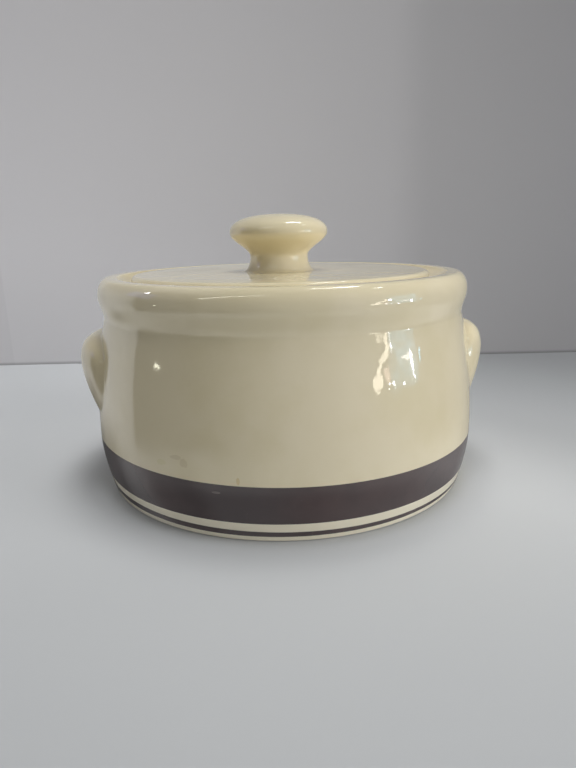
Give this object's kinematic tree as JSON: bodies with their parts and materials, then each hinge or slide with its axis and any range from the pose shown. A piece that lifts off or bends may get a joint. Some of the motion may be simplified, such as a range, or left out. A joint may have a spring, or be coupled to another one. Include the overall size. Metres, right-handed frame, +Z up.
{
  "type": "covered casserole dish",
  "caption": "Round stoneware casserole crock with rolled rim, low ear handles, banded foot and a loose knobbed lid that sits inside the rim.",
  "frame": {"origin": "middle of the standing ring, on the surface the dish stands on", "axes": "+Z up; X runs through the two ear handles; -Y is the front that faces the user"},
  "size_m": [0.2248, 0.2114, 0.142],
  "materials": {
    "cream_glaze": "glossy cream glaze over pale stoneware",
    "brown_glaze": "glossy dark brown band glaze"
  },
  "bodies": {
    "crock": {"crock": "cream_glaze", "left_handle": "cream_glaze", "right_handle": "cream_glaze", "wide_band": "brown_glaze", "narrow_band": "brown_glaze"},
    "lid": {"lid": "cream_glaze", "knob": "cream_glaze"}
  },
  "joints": [
    {"name": "lid_lift", "type": "slide", "parent": "crock", "child": "lid", "axis": [0, 0, 1], "range_m": [0, 0.12]}
  ]
}
